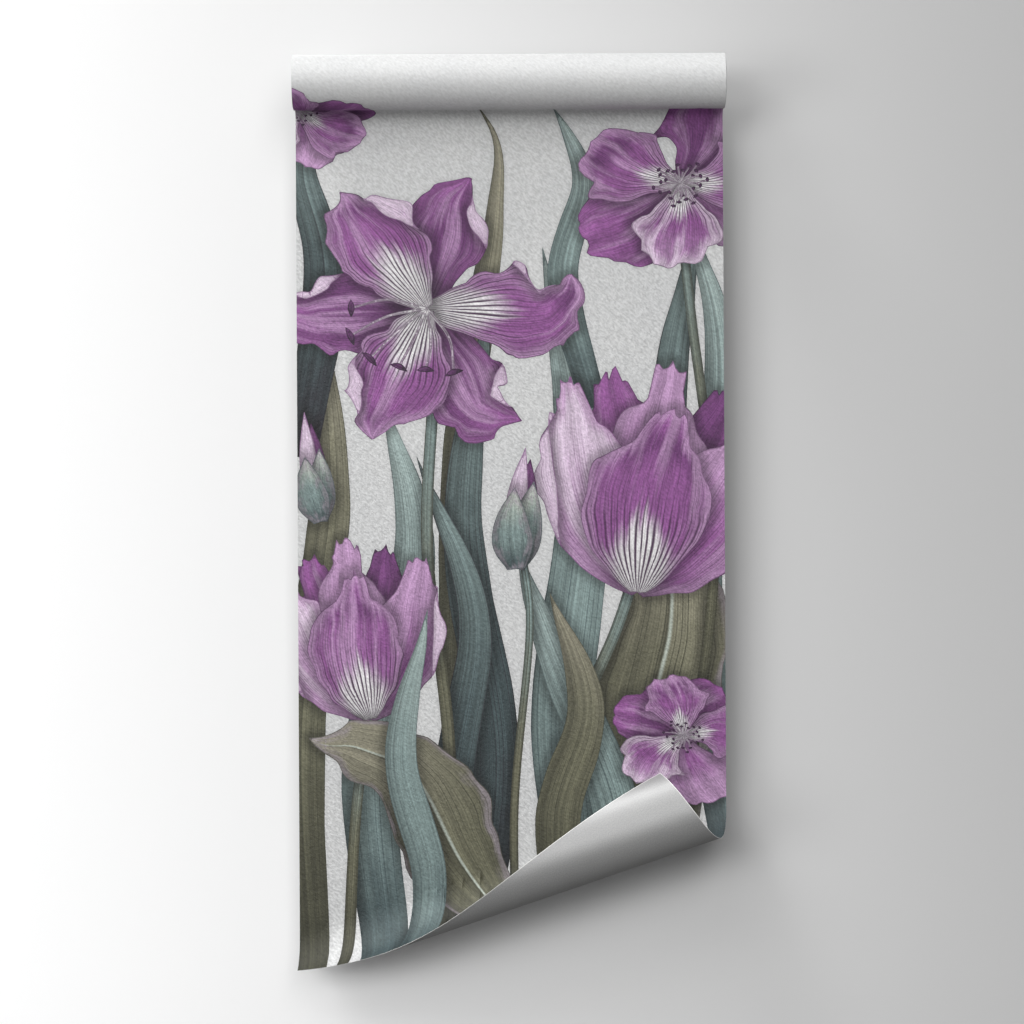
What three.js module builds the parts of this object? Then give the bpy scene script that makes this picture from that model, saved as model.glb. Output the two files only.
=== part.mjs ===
// A length of printed wallpaper, partly unrolled: the roll at the top, the drop that hangs flat
// against a wall, and the bottom corner that curls forward with the memory of the roll.
// Millimetres. +X right, +Z up, the wall is the plane Y = 0 and the print faces -Y.
// The whole thing is one continuous web, so it is one solid.
import * as THREE from "three";

// Driving dimensions
const WIDTH = 530; // standard wallpaper width
const ROLL_RADIUS = 34; // outside of the outermost turn
const HOLLOW_RADIUS = 15; // the coreless roll is open along its middle
const WEB = 0.6; // thickness of the hanging web
const ROLL_AXIS_Z = 100; // height of the roll's axis over the origin
const BOTTOM_Z = -1000; // the bottom edge, were the curl laid flat
const WALL_CLEARANCE = 1; // between the back of the roll and the wall
const PEEL_ANGLE = THREE.MathUtils.degToRad(25); // past the roll's lowest point, towards the wall

// The curl is a bend round parallel lines that rise to the right.
const CURL_SLOPE = THREE.MathUtils.degToRad(18.6); // of those lines over the horizontal
const CURL_AT_LEFT = 44.7; // how far past the start of the bend the bottom left corner lies
// Bend radius, and the angle that the web has turned by where it ends
const CURL_ARCS = [
  { radius: 49, until: Math.PI / 2 },
  { radius: 38, until: Math.PI },
  { radius: 65.5, until: 1.5 * Math.PI },
];

// Fineness
const TURN_STEPS = 64; // round the roll
const THROAT_STEPS = 14; // round the reverse bend
const CURL_STEP = 7; // across the curl

const HALF = WIDTH / 2;
const AXIS_Y = -(ROLL_RADIUS + WALL_CLEARANCE);
const MID_Y = -WEB / 2; // middle of the web's thickness, where it hangs flat
const WOUND_RADIUS = ROLL_RADIUS - WEB / 2; // middle of the web's thickness, where it is wound

// The web leaves the roll at the peel angle and bends the other way, into the plane of the drop.
const THROAT_RADIUS =
  (MID_Y - AXIS_Y - WOUND_RADIUS * Math.sin(PEEL_ANGLE)) / (1 + Math.sin(PEEL_ANGLE));

// ---------------------------------------------------------------- the web's route

// A line across the web: its two ends at mid thickness, and the way the printed face looks.
const station = (left, right, face) => ({ left, right, face });

// A line square across the web, where its section is the same all along X.
const level = (y, z, face) =>
  station(new THREE.Vector3(-HALF, y, z), new THREE.Vector3(HALF, y, z), face);

// From the roll, round the reverse bend and into the drop.
function throat() {
  const reach = WOUND_RADIUS + THROAT_RADIUS;
  const centreY = AXIS_Y + reach * Math.sin(PEEL_ANGLE);
  const centreZ = ROLL_AXIS_Z - reach * Math.cos(PEEL_ANGLE);
  const line = [];
  for (let i = 0; i <= THROAT_STEPS; i++) {
    const a = (i / THROAT_STEPS) * (Math.PI / 2 + PEEL_ANGLE) - PEEL_ANGLE;
    const face = new THREE.Vector3(0, -Math.sin(a), -Math.cos(a));
    line.push(
      level(centreY - THROAT_RADIUS * face.y, centreZ - THROAT_RADIUS * face.z, face),
    );
  }
  return line;
}

// How far the web has got across the curl, and out from the wall, at s past the bend's start.
function curlProfile(s) {
  let across = 0;
  let out = 0;
  let turned = 0;
  let left = Math.max(s, 0);
  for (const { radius, until } of CURL_ARCS) {
    const angle = Math.min(left / radius, until - turned);
    across += radius * (Math.sin(turned + angle) - Math.sin(turned));
    out += radius * (Math.cos(turned) - Math.cos(turned + angle));
    turned += angle;
    left -= angle * radius;
  }
  return { across, out, turned };
}

// Unit vectors in the wall plane: along the curl's lines, and across them towards the corner.
const ALONG = new THREE.Vector3(Math.cos(CURL_SLOPE), 0, Math.sin(CURL_SLOPE));
const ACROSS = new THREE.Vector3(Math.sin(CURL_SLOPE), 0, -Math.cos(CURL_SLOPE));
const OUT = new THREE.Vector3(0, -1, 0);
const CORNER = new THREE.Vector3(-HALF, MID_Y, BOTTOM_Z);
const CURL_END = CURL_AT_LEFT + WIDTH * Math.sin(CURL_SLOPE); // at the bottom right corner

// The way the printed face looks, where the web has turned by an angle.
const curlFace = (turned) =>
  OUT.clone()
    .multiplyScalar(Math.cos(turned))
    .addScaledVector(ACROSS, -Math.sin(turned));

// Where a point of the flat sheet goes, s past the start of the bend.
function bent(flat, s) {
  const { across, out } = curlProfile(s);
  return flat
    .clone()
    .addScaledVector(ACROSS, across - s)
    .addScaledVector(OUT, out);
}

// The curl's line at s, cut off by the sheet's left or bottom edge and by its right edge.
function curlStation(s) {
  const past = s - CURL_AT_LEFT;
  const left = CORNER.clone();
  if (past < 0) left.z -= past / Math.cos(CURL_SLOPE);
  else left.x += past / Math.sin(CURL_SLOPE);
  const reach = (HALF - left.x) / ALONG.x;
  const right = left.clone().addScaledVector(ALONG, reach);
  return station(bent(left, s), bent(right, s), curlFace(curlProfile(s).turned));
}

// Lines across the curl; one of them passes through the bottom left corner.
function curl() {
  const line = [];
  const before = Math.ceil(CURL_AT_LEFT / CURL_STEP);
  for (let i = 0; i < before; i++) line.push(curlStation((i / before) * CURL_AT_LEFT));
  const rest = CURL_END - CURL_AT_LEFT;
  const after = Math.ceil(rest / CURL_STEP);
  for (let i = 0; i < after; i++) line.push(curlStation(CURL_AT_LEFT + (i / after) * rest));
  return line;
}

// ---------------------------------------------------------------- the solid

const positions = [];
const triangle = (a, b, c) => positions.push(...a.toArray(), ...b.toArray(), ...c.toArray());
const quad = (a, b, c, d) => {
  triangle(a, b, c);
  triangle(a, c, d);
};

const printed = (s, side) => s[side].clone().addScaledVector(s.face, WEB / 2);
const plain = (s, side) => s[side].clone().addScaledVector(s.face, -WEB / 2);

// The hanging web, from the roll to the point of its corner.
function addWeb(line) {
  for (let i = 0; i + 1 < line.length; i++) {
    const [a, b] = [line[i], line[i + 1]];
    quad(printed(a, "left"), printed(b, "left"), printed(b, "right"), printed(a, "right"));
    quad(plain(a, "right"), plain(b, "right"), plain(b, "left"), plain(a, "left"));
    quad(plain(a, "left"), plain(b, "left"), printed(b, "left"), printed(a, "left"));
    quad(printed(a, "right"), printed(b, "right"), plain(b, "right"), plain(a, "right"));
  }
  const last = line[line.length - 1];
  const face = curlFace(curlProfile(CURL_END).turned);
  const tip = bent(new THREE.Vector3(HALF, MID_Y, BOTTOM_Z), CURL_END);
  const front = tip.clone().addScaledVector(face, WEB / 2);
  const back = tip.clone().addScaledVector(face, -WEB / 2);
  triangle(printed(last, "left"), front, printed(last, "right"));
  triangle(plain(last, "right"), back, plain(last, "left"));
  quad(plain(last, "left"), back, front, printed(last, "left"));
  quad(printed(last, "right"), front, back, plain(last, "right"));
}

// The wound turns as one ring. Its outside is a spiral that gains one thickness in a turn, so
// the web leaves it from a step. Angles run from that step round by the wall side, over the top
// and down the front.
function addRoll() {
  const at = (x, radius, i) => {
    const a = PEEL_ANGLE + ((i % TURN_STEPS) / TURN_STEPS) * 2 * Math.PI;
    return new THREE.Vector3(x, AXIS_Y + radius * Math.sin(a), ROLL_AXIS_Z - radius * Math.cos(a));
  };
  const outside = (x, i) => at(x, ROLL_RADIUS - WEB * (1 - i / TURN_STEPS), i);
  const inside = (x, i) => at(x, HOLLOW_RADIUS, i);
  for (let i = 0; i < TURN_STEPS; i++) {
    const j = i + 1;
    quad(outside(HALF, i), outside(-HALF, i), outside(-HALF, j), outside(HALF, j));
    quad(inside(-HALF, i), inside(HALF, i), inside(HALF, j), inside(-HALF, j));
    if (j < TURN_STEPS) {
      quad(inside(-HALF, i), inside(-HALF, j), outside(-HALF, j), outside(-HALF, i));
      quad(inside(HALF, i), outside(HALF, i), outside(HALF, j), inside(HALF, j));
    }
  }
  // The last cell of each end takes in the step, whose lower end is the spiral's first point.
  const last = TURN_STEPS - 1;
  for (const x of [-HALF, HALF]) {
    const cell = [
      [inside(x, last), outside(x, last), outside(x, 0)],
      [outside(x, last), outside(x, TURN_STEPS), outside(x, 0)],
      [inside(x, last), outside(x, 0), inside(x, 0)],
    ];
    for (const [a, b, c] of cell) x > 0 ? triangle(a, b, c) : triangle(a, c, b);
  }
}

addRoll();
addWeb([...throat(), ...curl()]);

const geometry = new THREE.BufferGeometry();
geometry.setAttribute("position", new THREE.Float32BufferAttribute(positions, 3));
geometry.computeVertexNormals();

const paper = new THREE.MeshStandardMaterial({ color: 0xb9a9bd, roughness: 0.8, metalness: 0 });
const wallpaper = new THREE.Mesh(geometry, paper);
wallpaper.name = "wallpaper";

const part = new THREE.Group();
part.add(wallpaper);
export default part;
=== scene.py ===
import itertools
import math

import bpy
import numpy as np
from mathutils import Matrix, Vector, kdtree, noise
from mathutils.geometry import delaunay_2d_cdt


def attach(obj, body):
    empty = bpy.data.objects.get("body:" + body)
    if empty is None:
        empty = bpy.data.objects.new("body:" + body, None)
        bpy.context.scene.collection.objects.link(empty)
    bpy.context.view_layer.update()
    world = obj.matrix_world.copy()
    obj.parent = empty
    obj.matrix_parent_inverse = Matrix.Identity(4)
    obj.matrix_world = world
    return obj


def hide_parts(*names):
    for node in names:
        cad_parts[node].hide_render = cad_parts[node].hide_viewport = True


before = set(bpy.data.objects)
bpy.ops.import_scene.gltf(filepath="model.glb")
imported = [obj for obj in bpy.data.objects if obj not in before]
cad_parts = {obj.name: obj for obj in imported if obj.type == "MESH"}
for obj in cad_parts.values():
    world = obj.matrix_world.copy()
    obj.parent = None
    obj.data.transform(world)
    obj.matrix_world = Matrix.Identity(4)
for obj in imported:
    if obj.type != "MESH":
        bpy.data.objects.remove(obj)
noise.seed_set(11)
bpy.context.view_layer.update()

# ---- dimensions, in millimetres
# The same driving values as the part. A point of the web is (u, w): u across it from the middle,
# w along it from the bottom edge, both measured as if the web lay flat.
MM = 0.001
WIDTH = 530.0
HALF = WIDTH / 2
ROLL_RADIUS = 34.0
HOLLOW_RADIUS = 15.0
ROLL_AXIS_Z = 100.0
BOTTOM_Z = -1000.0
WALL_CLEARANCE = 1.0
PEEL_ANGLE = math.radians(25)
AXIS_Y = -(ROLL_RADIUS + WALL_CLEARANCE)
CURL_SLOPE = math.radians(18.6)
CURL_AT_LEFT = 44.7
CURL_ARCS = ((49.0, math.pi / 2), (38.0, math.pi), (65.5, 1.5 * math.pi))

WEB = 0.3  # thickness of the paper
ROLL_LENGTH = 10050.0  # of the whole web
FRONT_GRID, BACK_GRID = 4.5, 5.0  # spacing of the mesh on the web's two faces
SLIVER = 0.01  # height of a triangle that is none
SAME_PLACE = 1e-3  # points nearer than this are one
SHORTEST_SIDE = 0.3  # of a motif's outline
TURN_STEPS = 60  # round the roll
PRINTED_TURNS = 1.07  # turns of the roll that carry the full print
PRINTED_STEPS = int(PRINTED_TURNS * TURN_STEPS)
RIM_WANDER = 0.7  # how unevenly the turns' edges lie at the ends of the roll

# ---- the web's route
# It leaves the roll at the peel angle and bends the other way, into the plane of the drop.
WOUND_RADIUS = ROLL_RADIUS - WEB / 2
THROAT_RADIUS = ((-WEB / 2 - AXIS_Y - WOUND_RADIUS * math.sin(PEEL_ANGLE))
                 / (1 + math.sin(PEEL_ANGLE)))
FLAT_TOP = ROLL_AXIS_Z - (WOUND_RADIUS + THROAT_RADIUS) * math.cos(PEEL_ANGLE) - BOTTOM_Z
PEEL = FLAT_TOP + THROAT_RADIUS * (math.pi / 2 + PEEL_ANGLE)  # where the web leaves the roll


def spiral():
    """Angle, radius of the middle of the paper and length used, from the peel point inwards."""
    wound = ROLL_LENGTH - PEEL
    section = math.pi * (ROLL_RADIUS**2 - HOLLOW_RADIUS**2)
    turns = (ROLL_RADIUS - HOLLOW_RADIUS - WEB) / (section / wound)
    angle = np.linspace(0, turns * 2 * math.pi, int(turns * TURN_STEPS))
    radius = np.interp(angle, (0, angle[-1]),
                       (WOUND_RADIUS, HOLLOW_RADIUS + WEB / 2))
    step = np.hypot(np.diff(radius), (radius[1:] + radius[:-1]) / 2 * np.diff(angle))
    return angle, radius, np.concatenate(([0], np.cumsum(step)))


SPIRAL_ANGLE, SPIRAL_RADIUS, SPIRAL_USED = spiral()
TOP = PEEL + SPIRAL_USED[PRINTED_STEPS]  # last row of the fully printed web
LENGTH_USED = PEEL + SPIRAL_USED[-1]

SHADE_REACH = 30.0  # how far the inks know of outlines near them
FINE_INKS = ("thread", "anther")  # too fine to cast a drawn shade


def rim_wander(angle):
    """How far the web is shifted sideways at a place in the roll, so that its ends aren't flat."""
    turn = angle / (2 * math.pi)
    settled = np.clip(turn - 0.6, 0, 1)
    return RIM_WANDER * settled * (0.6 * np.sin(turn * 0.83) + 0.3 * np.sin(turn * 2.1 + 1)
                                   + 0.15 * np.sin(turn * 6.7 + 2))


def curl_profile(s):
    """Distance across the curl and out from the wall, and angle turned, at s past its start."""
    across, out, turned = np.zeros_like(s), np.zeros_like(s), np.zeros_like(s)
    left = np.maximum(s, 0)
    done = 0.0
    for radius, until in CURL_ARCS:
        angle = np.clip(left / radius, 0, until - done)
        across += radius * (np.sin(done + angle) - math.sin(done))
        out += radius * (math.cos(done) - np.cos(done + angle))
        turned += angle
        left = left - angle * radius
        done = until
    return across, out, turned


def web_point(u, w):
    """Middle of the paper, and the way its printed face looks, for arrays of u and w."""
    u, w = np.asarray(u, float), np.asarray(w, float)
    point, face = np.zeros((len(u), 3)), np.zeros((len(u), 3))
    # the drop, with its curl
    sin_a, cos_a = math.sin(CURL_SLOPE), math.cos(CURL_SLOPE)
    s = CURL_AT_LEFT + (u + HALF) * sin_a - w * cos_a
    across, out, turned = curl_profile(s)
    back = np.where(s > 0, across - s, 0)
    point[:] = np.stack((u + back * sin_a, -WEB / 2 - out, BOTTOM_Z + w - back * cos_a), 1)
    face[:] = np.stack((-np.sin(turned) * sin_a, -np.cos(turned), np.sin(turned) * cos_a), 1)
    # the reverse bend
    m = (w > FLAT_TOP) & (w <= PEEL)
    a = (w - FLAT_TOP) / THROAT_RADIUS
    centre_y, centre_z = -WEB / 2 - THROAT_RADIUS, FLAT_TOP + BOTTOM_Z
    point[m] = np.stack((u, centre_y + THROAT_RADIUS * np.cos(a),
                         centre_z + THROAT_RADIUS * np.sin(a)), 1)[m]
    face[m] = np.stack((u * 0, -np.cos(a), -np.sin(a)), 1)[m]
    # the roll
    m = w > PEEL
    angle = np.interp(w - PEEL, SPIRAL_USED, SPIRAL_ANGLE)
    radius = np.interp(w - PEEL, SPIRAL_USED, SPIRAL_RADIUS)
    past = angle - PEEL_ANGLE  # the roll's lowest point
    outward = np.stack((u * 0, -np.sin(past), -np.cos(past)), 1)
    centre = np.stack((u + rim_wander(angle), u * 0 + AXIS_Y, u * 0 + ROLL_AXIS_Z), 1)
    point[m] = (centre + outward * radius[:, None])[m]
    face[m] = outward[m]
    return point, face


# ---- the print: shapes
class Motif:
    """A shape of the print: a grid of points, from root to tip and from margin to margin."""

    numbers = itertools.count(1)

    def __init__(self, ink, grid=None):
        self.ink, self.number = ink, next(Motif.numbers)
        if grid is not None:
            self.set_grid(grid)

    def set_grid(self, grid):
        self.grid = grid
        loop = np.concatenate((grid[:, 0], grid[-1, 1:-1], grid[::-1, -1], grid[0, -2:0:-1]))
        step = np.hypot(*(loop - np.roll(loop, 1, 0)).T)
        self.outline = loop[step > SHORTEST_SIDE]
        self.low, self.high = self.outline.min(0), self.outline.max(0)

    def covers(self, points):
        """Which points lie inside the outline."""
        inside = np.zeros(len(points), bool)
        near = np.all((points >= self.low) & (points <= self.high), 1)
        x, y = points[near].T
        hit = np.zeros(len(x), bool)
        for (x0, y0), (x1, y1) in zip(self.outline, np.roll(self.outline, -1, 0)):
            if y0 != y1:
                crosses = (y0 > y) != (y1 > y)
                hit ^= crosses & (x < (x1 - x0) * (y - y0) / (y1 - y0) + x0)
        inside[near] = hit
        return inside

    def at(self, s, t):
        """Points of the shape and its slopes there: s is 0 to 1 along it, t is -1 to 1 across."""
        rows, columns = self.grid.shape[:2]
        x, y = s * (rows - 1), (t + 1) / 2 * (columns - 1)
        i, j = np.clip(x.astype(int), 0, rows - 2), np.clip(y.astype(int), 0, columns - 2)
        f, g = (x - i)[:, None], (y - j)[:, None]
        a, b = self.grid[i, j], self.grid[i + 1, j]
        c, d = self.grid[i, j + 1], self.grid[i + 1, j + 1]
        point = (a * (1 - f) + b * f) * (1 - g) + (c * (1 - f) + d * f) * g
        along = ((b - a) * (1 - g) + (d - c) * g) * (rows - 1)
        across = ((c - a) * (1 - f) + (d - b) * f) * (columns - 1) / 2
        return point, along, across

    def along_and_across(self, points):
        """The s and t of each point."""
        rows, columns = self.grid.shape[:2]
        tree = kdtree.KDTree(rows * columns)
        for i, (x, y) in enumerate(self.grid.reshape(-1, 2)):
            tree.insert((x, y, 0), i)
        tree.balance()
        found = np.array([tree.find((x, y, 0))[1] for x, y in points])
        s, t = found // columns / (rows - 1), found % columns / (columns - 1) * 2 - 1
        for _ in range(5):
            place, along, across = self.at(s, t)
            off = points - place
            det = along[:, 0] * across[:, 1] - along[:, 1] * across[:, 0]
            det = np.where(np.abs(det) < 1, np.where(det < 0, -1, 1), det)
            ds = (off[:, 0] * across[:, 1] - off[:, 1] * across[:, 0]) / det
            dt = (along[:, 0] * off[:, 1] - along[:, 1] * off[:, 0]) / det
            s = np.clip(s + np.clip(ds, -0.05, 0.05), 0, 1)
            t = np.clip(t + np.clip(dt, -0.15, 0.15), -1, 1)
        return s, t


def outline_distance(points, outline, limit):
    """Distance from each point to a closed outline, at most limit."""
    best = np.full(len(points), float(limit))
    near = np.all((points > outline.min(0) - limit) & (points < outline.max(0) + limit), 1)
    if not near.any():
        return best
    p = points[near]
    a, b = outline, np.roll(outline, -1, 0)
    ab = b - a
    length = np.maximum((ab**2).sum(1), 1e-9)
    t = np.clip(((p[:, None] - a) * ab).sum(2) / length, 0, 1)
    gap = np.sqrt(((p[:, None] - (a + ab * t[..., None])) ** 2).sum(2)).min(1)
    best[near] = np.minimum(best[near], gap)
    return best


def smooth_curve(points, count):
    """count points on a smooth curve through the given ones."""
    p = np.array(points, float)
    if len(p) == 2:
        p = np.array((p[0], p.mean(0), p[1]))
    p = np.concatenate(([2 * p[0] - p[1]], p, [2 * p[-1] - p[-2]]))
    t = np.linspace(0, len(p) - 3 - 1e-9, count)
    i = t.astype(int)
    f = (t - i)[:, None]
    a, b, c, d = p[i], p[i + 1], p[i + 2], p[i + 3]
    return 0.5 * (2 * b + (c - a) * f + (2 * a - 5 * b + 4 * c - d) * f**2
                  + (3 * b - a - 3 * c + d) * f**3)


WAVES = 3.5  # ruffles across the end of a petal, in its outline and in its ink
WAVE_TURN = 1.7  # how far they are shifted from one shape to the next
SPINE_STEPS = 80
ROW_STEP, FEWEST_ROWS, MOST_ROWS = 4, 14, 60  # of a shape's grid
POINTED = 0.2  # a profile that ends narrower than this has a point
CROWDED = 1.35  # the power that draws its rows together there
THINNEST = 0.004  # share of the full width


def shape(ink, spine, width, profile, bow=0.0, ruffle=0.0, wave=0.0, grain=30.0, columns=13):
    """A petal or leaf about a spine. profile is its share of the full width, as (s, share) pairs.
    bow draws its margins back from a rounded end, by that share of its length. ruffle is how far
    its margins wander, wave how far its end ripples, in millimetres."""
    line = smooth_curve(spine, SPINE_STEPS)
    run = np.concatenate(([0], np.cumsum(np.hypot(*np.diff(line, axis=0).T))))
    count = int(min(MOST_ROWS, max(FEWEST_ROWS, run[-1] / ROW_STEP)))
    s = np.linspace(0, 1, count)
    if profile[-1][1] < POINTED:
        s = 1 - (1 - s) ** CROWDED
    line = np.stack([np.interp(s * run[-1], run, line[:, k]) for k in (0, 1)], 1)
    way = np.gradient(line, axis=0)
    way /= np.hypot(*way.T)[:, None]
    normal = np.stack((-way[:, 1], way[:, 0]), 1)
    curve = smooth_curve(profile, 120)
    half = np.maximum(np.interp(s, curve[:, 0], curve[:, 1]), THINNEST) * width / 2
    t = np.linspace(-1, 1, columns)
    if bow:
        t = np.sin(t * math.pi / 2)
    made = Motif(ink)
    phase = made.number * WAVE_TURN
    drawn_back = bow * run[-1] * s[:, None] ** 2 * (1 - np.sqrt(1 - t**2))
    rippled = wave * np.sin(WAVES * math.pi * t + phase) * s[:, None] ** 3
    grid = (line[:, None] + normal[:, None] * (half[:, None] * t)[..., None]
            + way[:, None] * (rippled - drawn_back)[..., None])
    if ruffle:
        outer = np.clip(np.abs(t) ** 3 + s[:, None] ** 5, 0, 1) * np.clip(s * 2.5, 0, 1)[:, None]
        for i, j in np.ndindex(outer.shape):
            x, y = grid[i, j] / grain
            push = noise.noise_vector((x, y, made.number * 3.1))
            grid[i, j] += np.array(push[:2]) * ruffle * outer[i, j]
    # even out t, which was spaced for a rounded end
    even = np.linspace(-1, 1, columns)
    grid = np.stack([[np.interp(even, t, row[:, k]) for k in (0, 1)] for row in grid])
    made.set_grid(np.swapaxes(grid, 1, 2))
    return made


def placed(motifs, origin, turn, squash=1.0):
    """Motifs drawn upright about (0, 0), made squash times as tall, leaned right and moved."""
    a = math.radians(turn)
    matrix = np.array(((math.cos(a), math.sin(a)), (-math.sin(a), math.cos(a))))
    matrix = matrix @ np.diag((1, squash))
    for m in motifs:
        m.set_grid(m.grid @ matrix.T + origin)
    return motifs


def turned_edge(motif, ink, side, start, end, depth):
    """A strip along one margin of a motif, folded over so that its other face shows."""
    s = np.linspace(start, end, 24)
    reach = depth * np.sin(np.linspace(0, math.pi, 24)) ** 0.8
    rows = [motif.at(s, side * (1 + (0.12 - 1.12 * k) * reach))[0] for k in np.linspace(0, 1, 5)]
    return Motif(ink, np.stack(rows, 1))


ROUND_PETAL = ((0, 0.1), (0.25, 0.42), (0.55, 0.88), (0.8, 1.0), (1, 0.78))
POINTED_PETAL = ((0, 0.16), (0.3, 0.72), (0.5, 1.0), (0.75, 0.78), (1, 0.02))
CUP_PETAL = ((0, 0.14), (0.08, 0.42), (0.24, 0.8), (0.5, 1.0), (0.8, 0.86), (1, 0.4))
STRAP = ((0, 0.8), (0.4, 1.0), (0.75, 0.7), (1, 0.01))
LANCE = ((0, 0.12), (0.25, 0.72), (0.5, 1.0), (0.78, 0.66), (1, 0.01))
STEM = ((0, 1.0), (0.5, 0.85), (1, 0.8))
SCALE = ((0, 0.45), (0.3, 1.0), (0.65, 0.75), (1, 0.02))


def toward(angle, reach):
    """The point that far out at an angle, in radians clockwise from upright."""
    return np.array((math.sin(angle), math.cos(angle))) * reach


def right_of(way):
    """The same vector, a quarter turn clockwise."""
    return np.array((way[1], -way[0]))


def sized(points, width, height):
    """Points that are given as shares of a width and a height."""
    return [(x * width, y * height) for x, y in points]


def petal(ink, spine, width):
    """A broad petal with a rounded, rippled end."""
    return shape(ink, spine, width, ROUND_PETAL, bow=0.3, ruffle=width * 0.07,
                 wave=width * 0.03, grain=width * 0.2, columns=17)


def stamen(tip, bend, across, thread, anther):
    """A thread from (0, 0) to its tip, bent aside, and an anther through the points across it."""
    return [shape("thread", [(0, 0), tip / 2 + bend, tip], thread, STEM, columns=3),
            shape("anther", across, anther, LANCE, columns=3)]


def stamens(count, reach):
    """A brush of threads with dark anthers about (0, 0)."""
    parts = []
    for k in range(count):
        long = reach * (0.85 + 0.25 * math.sin(4.7 * k))
        tip = toward(math.radians(k * 360 / count + 6 * math.sin(7 * k)), long)
        side = right_of(tip) / long * reach * 0.12
        parts += stamen(tip, right_of(tip) * 0.12 * math.sin(3 * k), [tip - side, tip + side],
                        reach * 0.09, reach * 0.15)
    return parts


def open_bloom(origin, radius, turn, squash, lean):
    """An open blossom seen nearly face on: two whorls of broad petals round a brush of stamens."""
    parts = []
    for whorl, inks in enumerate((("petal_deep", "petal"), ("petal_throat", "petal_pale_throat"))):
        for k in range(3):
            a = math.radians(turn + whorl * 60 + k * 120 + 8 * math.sin(5 * k + turn))
            long = radius * (0.98 - 0.04 * whorl + 0.07 * math.sin(3.3 * k + turn + whorl))
            tip = toward(a, long)
            bend = right_of(tip) * 0.13 * math.sin(2.1 * k + turn)
            width = long * (1.02 - 0.08 * whorl)
            parts.append(petal(inks[k % 2], [(0, 0), tip * 0.5 + bend, tip], width))
    parts += stamens(26, radius * 0.23)
    return placed(parts, origin, lean, squash)


def lily(origin, radius, turn, squash, lean):
    """A star of six pointed petals that bend back, with long curved stamens."""
    parts = []
    for whorl in (0, 1):
        for k in range(3):
            a = math.radians(turn + whorl * 60 + k * 120 + 7 * math.sin(4 * k + turn))
            tip = toward(a, radius)
            side = right_of(tip)
            curl = 0.14 * math.sin(2.3 * k + turn + 2 * whorl)
            spine = [(0, 0), tip * 0.42 + side * curl * 0.6, tip * 0.78 + side * curl,
                     tip - side * 0.06]
            ink = ("petal_deep", "petal_throat")[whorl]
            made = shape(ink, spine, radius * (0.56 + 0.1 * whorl), POINTED_PETAL,
                         ruffle=radius * 0.075, grain=radius * 0.13)
            parts.append(made)
            fold = 1 if math.sin(3 * k + whorl + turn) > 0 else -1
            parts.append(turned_edge(made, "petal_under", fold, 0.42, 0.84, 0.4))
    for k in range(6):
        a = math.radians(150 + k * 22 + turn * 0.1)
        tip = toward(a, radius) * (0.5 + 0.05 * math.sin(5 * k))
        side = right_of(tip) * 0.13
        across = [tip - side, tip + (0, radius * 0.012), tip + side]
        parts += stamen(tip, right_of(tip) * (k - 2.5) * 0.05, across, radius * 0.022,
                        radius * 0.045)
    return placed(parts, origin, lean, squash)


def cup_bloom(base, height, width, lean, flare):
    """A cupped blossom seen from the side: rear petals, two that wrap round it, one in front."""
    def cup_petal(ink, mid, tip, wide):
        return shape(ink, sized([(0, 0), mid, tip], width, height), wide * width, CUP_PETAL,
                     bow=0.16, ruffle=width * 0.045, wave=width * 0.035, grain=width * 0.15,
                     columns=15)

    rear = [cup_petal("petal_deep", (-0.14, 0.5), (-0.24 - flare, 0.99), 0.6),
            cup_petal("petal_dark", (0.15, 0.5), (0.28 + flare, 0.96), 0.6),
            cup_petal("petal", (0.0, 0.5), (0.02, 1.05), 0.56)]
    left = cup_petal("petal_pale", (-0.32, 0.4), (-0.46 - flare, 0.92), 0.5)
    right = cup_petal("petal", (0.32, 0.38), (0.5 + flare, 0.88), 0.54)
    front = cup_petal("petal_throat", (-0.02, 0.4), (0.05, 0.84), 0.66)
    folds = [turned_edge(left, "petal_under", 1, 0.35, 0.98, 0.4),
             turned_edge(right, "petal_under", -1, 0.4, 0.97, 0.34)]
    return placed(rear + [left, right] + folds + [front], base, lean)


def bud(base, height, width, lean, show=0.5):
    """A bud: a tip of folded petals in a sheath of two sepals."""
    def scale(ink, mid, tip, wide, start=(0, 0)):
        return shape(ink, sized([start, mid, tip], width, height), wide * width, SCALE, columns=9)

    parts = [scale("petal_deep", (0.1, 0.7), (0.2, 1.05 + 0.35 * show), 0.66, (0, 0.25)),
             scale("petal_under", (-0.06, 0.7), (0.08, 1.1 + 0.5 * show), 0.5, (0, 0.25)),
             scale("sepal", (0.16, 0.45), (0.3, 0.98), 0.78),
             scale("sepal", (-0.14, 0.42), (-0.12, 0.9), 0.9)]
    return placed(parts, base, lean)


def strap(ink, spine, width):
    return shape(ink, spine, width, STRAP, ruffle=2, grain=60, columns=9)


def stem(spine, width):
    return shape("stem", spine, width, STEM, columns=3)


def lance(ink, spine, width):
    """A broad leaf with wavy margins."""
    return shape(ink, spine, width, LANCE, ruffle=width * 0.13, grain=width * 0.34, columns=15)


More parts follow.
